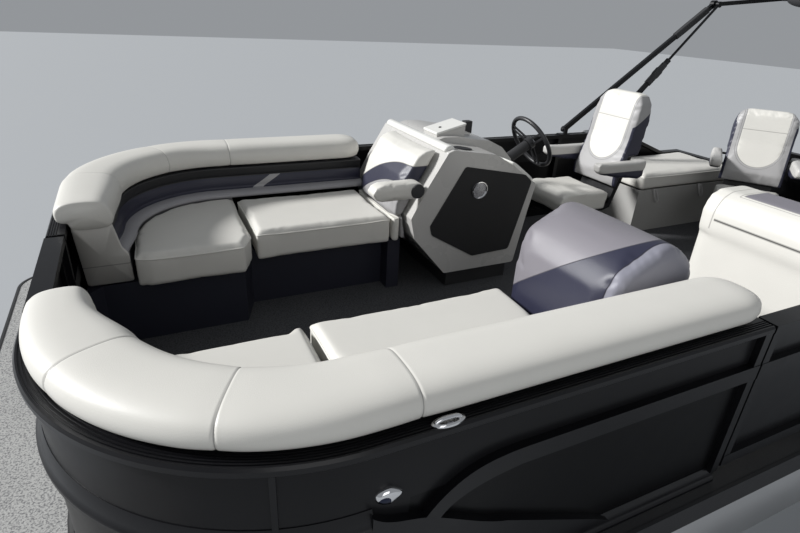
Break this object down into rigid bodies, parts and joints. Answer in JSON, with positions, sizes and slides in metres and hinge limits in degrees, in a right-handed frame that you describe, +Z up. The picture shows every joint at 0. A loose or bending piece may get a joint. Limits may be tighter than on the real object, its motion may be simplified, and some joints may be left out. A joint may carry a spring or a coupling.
{
  "type": "pontoon boat",
  "caption": "Pontoon boat on tubes with a fenced deck, bow couches, side helm console, swivel chairs, stern lounges, folding top and outboard engine.",
  "frame": {"origin": "centre of the boat's bounding box in plan, at the keels' lowest line", "axes": "+X to the bow, +Y to port, +Z up, in line with the hull"},
  "size_m": [7.0254, 2.59, 2.53],
  "materials": {
    "aluminium": "mill finish, dull",
    "black_plastic": "moulded black plastic",
    "black_rail": "black powder coat",
    "canvas": "black canvas",
    "charcoal_panel": "charcoal metallic gloss",
    "chrome": "polished",
    "cream_vinyl": "cream marine vinyl",
    "deck_vinyl": "speckled woven vinyl",
    "engine_paint": "gloss black",
    "iron": "plain block",
    "shell_plastic": "light gelcoat"
  },
  "bodies": {
    "boat": {"backrest_port": "cream_vinyl", "backrest_starboard": "cream_vinyl", "bimini_feet": "black_rail", "bow_cushions": "cream_vinyl", "chair_pedestals": "black_plastic", "console_kick_plate": "black_plastic", "console_shell": "shell_plastic", "console_side_panel": "black_plastic", "couch_back_port": "cream_vinyl", "couch_back_starboard": "cream_vinyl", "couch_bases": "black_plastic", "cross_members": "aluminium", "deck": "deck_vinyl", "deck_edge_trim": "black_rail", "engine_bracket": "engine_paint", "fence_frame_port_aft": "black_rail", "fence_frame_port_bow": "black_rail", "fence_frame_starboard": "black_rail", "fence_frame_stern": "black_rail", "fence_panels_port": "charcoal_panel", "fence_panels_starboard": "charcoal_panel", "fence_panels_stern": "charcoal_panel", "helm_controls": "black_plastic", "ladder_bracket": "black_rail", "lounge_backrest": "cream_vinyl", "lounge_bases": "black_plastic", "motor_pod": "aluminium", "pontoon_tubes": "aluminium", "rail_fittings": "chrome"},
    "bow_gate": {"bow_gate": "black_rail"},
    "side_gate": {"side_gate": "black_rail"},
    "stern_gate": {"stern_gate": "black_rail"},
    "port_seat_lid": {"seat_cushion_port": "cream_vinyl"},
    "starboard_seat_lid": {"seat_cushion_starboard": "cream_vinyl"},
    "port_lounge_lid": {"lounge_cushion_port": "cream_vinyl"},
    "starboard_lounge_lid": {"lounge_cushion_starboard": "cream_vinyl"},
    "couch_armrest": {"couch_armrest": "cream_vinyl"},
    "dash_lid": {"dash_box_lid": "shell_plastic"},
    "helm_wheel": {"steering_wheel": "black_plastic"},
    "captain_chair": {"captain_chair_frame": "black_plastic", "captain_seat_cushion": "cream_vinyl", "captain_back_cushion": "cream_vinyl"},
    "captain_arm_port": {"captain_armrest_port": "cream_vinyl"},
    "captain_arm_starboard": {"captain_armrest_starboard": "cream_vinyl"},
    "co_captain_chair": {"co_captain_chair_frame": "black_plastic", "co_captain_seat_cushion": "cream_vinyl", "co_captain_back_cushion": "cream_vinyl"},
    "co_captain_arm_port": {"co_captain_armrest_port": "cream_vinyl"},
    "co_captain_arm_starboard": {"co_captain_armrest_starboard": "cream_vinyl"},
    "folding_top": {"bimini_frame": "black_rail", "bimini_boot": "canvas"},
    "top_struts": {"bimini_strut_tubes": "black_rail"},
    "top_strut_rods": {"bimini_strut_rods": "black_rail"},
    "engine_mount": {"engine_swivel": "engine_paint"},
    "engine": {"engine_leg": "engine_paint", "engine_cowl": "engine_paint", "engine_block": "iron"},
    "propeller": {"propeller": "engine_paint"},
    "ladder_upper": {"ladder_upper": "aluminium"},
    "ladder_lower": {"ladder_lower": "aluminium"}
  },
  "joints": [
    {"name": "bow_gate_hinge", "type": "hinge", "parent": "boat", "child": "bow_gate", "pos_m": [3.0987, 0.42, 1.08], "axis": [0, 0, -1], "range_deg": [0, 90]},
    {"name": "side_gate_hinge", "type": "hinge", "parent": "boat", "child": "side_gate", "pos_m": [0.5107, 1.178, 1.08], "axis": [0, 0, -1], "range_deg": [0, 90]},
    {"name": "stern_gate_hinge", "type": "hinge", "parent": "boat", "child": "stern_gate", "pos_m": [-1.4473, 0.465, 1.08], "axis": [0, 0, 1], "range_deg": [0, 90]},
    {"name": "port_seat_hinge", "type": "hinge", "parent": "boat", "child": "port_seat_lid", "pos_m": [2.0207, 0.95, 1.22], "axis": [-1, 0, 0], "range_deg": [0, 75]},
    {"name": "starboard_seat_hinge", "type": "hinge", "parent": "boat", "child": "starboard_seat_lid", "pos_m": [2.0707, -0.95, 1.22], "axis": [1, 0, 0], "range_deg": [0, 75]},
    {"name": "port_lounge_hinge", "type": "hinge", "parent": "boat", "child": "port_lounge_lid", "pos_m": [-0.6293, 1.174, 1.22], "axis": [-1, 0, 0], "range_deg": [0, 75]},
    {"name": "starboard_lounge_hinge", "type": "hinge", "parent": "boat", "child": "starboard_lounge_lid", "pos_m": [-0.9293, -1.174, 1.22], "axis": [1, 0, 0], "range_deg": [0, 75]},
    {"name": "couch_armrest_hinge", "type": "hinge", "parent": "boat", "child": "couch_armrest", "pos_m": [1.5727, -0.367, 1.393], "axis": [0, -1, 0], "range_deg": [0, 90]},
    {"name": "dash_lid_hinge", "type": "hinge", "parent": "boat", "child": "dash_lid", "pos_m": [1.1417, -0.681, 1.653], "axis": [0, -1, 0], "range_deg": [0, 80]},
    {"name": "engine_tilt", "type": "hinge", "parent": "boat", "child": "engine_mount", "pos_m": [-2.3693, 0, 0.765], "axis": [0, 1, 0], "range_deg": [-62, 6]},
    {"name": "engine_steer", "type": "hinge", "parent": "engine_mount", "child": "engine", "pos_m": [-2.5901, 0, 0.82881], "axis": [0.8829, 0, 0.4695], "range_deg": [-30, 30]},
    {"name": "propeller_spin", "type": "hinge", "parent": "engine", "child": "propeller", "pos_m": [-3.38338, 0, 0.79775], "axis": [0.4695, 0, -0.8829], "continuous": true},
    {"name": "helm_wheel_turn", "type": "hinge", "parent": "boat", "child": "helm_wheel", "pos_m": [0.6187, -0.66, 1.522], "axis": [-0.866, 0, 0.5], "range_deg": [-450, 450]},
    {"name": "captain_swivel", "type": "hinge", "parent": "boat", "child": "captain_chair", "pos_m": [0.2407, -0.66, 1.07], "axis": [0, 0, 1], "range_deg": [-45, 50]},
    {"name": "captain_arm_port_hinge", "type": "hinge", "parent": "captain_chair", "child": "captain_arm_port", "pos_m": [-0.0943, -0.416, 1.395], "axis": [0, -1, 0], "range_deg": [0, 95]},
    {"name": "captain_arm_starboard_hinge", "type": "hinge", "parent": "captain_chair", "child": "captain_arm_starboard", "pos_m": [-0.0943, -0.904, 1.395], "axis": [0, -1, 0], "range_deg": [0, 95]},
    {"name": "co_captain_swivel", "type": "hinge", "parent": "boat", "child": "co_captain_chair", "pos_m": [-0.8793, -0.14, 1.07], "axis": [0, 0, 1], "range_deg": [-15, 150]},
    {"name": "co_captain_arm_port_hinge", "type": "hinge", "parent": "co_captain_chair", "child": "co_captain_arm_port", "pos_m": [-1.29374, -0.13951, 1.395], "axis": [0.5878, -0.809, 0], "range_deg": [0, 95]},
    {"name": "co_captain_arm_starboard_hinge", "type": "hinge", "parent": "co_captain_chair", "child": "co_captain_arm_starboard", "pos_m": [-1.0069, -0.53431, 1.395], "axis": [0.5878, -0.809, 0], "range_deg": [0, 95]},
    {"name": "top_fold", "type": "hinge", "parent": "boat", "child": "folding_top", "pos_m": [-0.1293, 0, 1.46], "axis": [0, -1, 0], "range_deg": [0, 25]},
    {"name": "top_strut_hinge", "type": "hinge", "parent": "boat", "child": "top_struts", "pos_m": [-0.5193, 0, 1.46], "axis": [0, -1, 0], "range_deg": [0, 32]},
    {"name": "top_strut_slide", "type": "slide", "parent": "top_struts", "child": "top_strut_rods", "axis": [-0.7032, 0, 0.711], "range_m": [-0.085, 0]},
    {"name": "ladder_swing", "type": "hinge", "parent": "boat", "child": "ladder_upper", "pos_m": [-2.4173, 0.85, 0.825], "axis": [0, -1, 0], "range_deg": [0, 165]},
    {"name": "ladder_unfold", "type": "hinge", "parent": "ladder_upper", "child": "ladder_lower", "pos_m": [-2.3873, 0.85, 1.325], "axis": [0, -1, 0], "range_deg": [0, 180]}
  ],
  "couplings": [
    {"joint": "helm_wheel_turn", "follows": "engine_steer", "ratio": -15},
    {"joint": "top_strut_hinge", "follows": "top_fold", "ratio": 1.269},
    {"joint": "top_strut_slide", "follows": "top_fold", "m_per_rad": -0.1905}
  ]
}
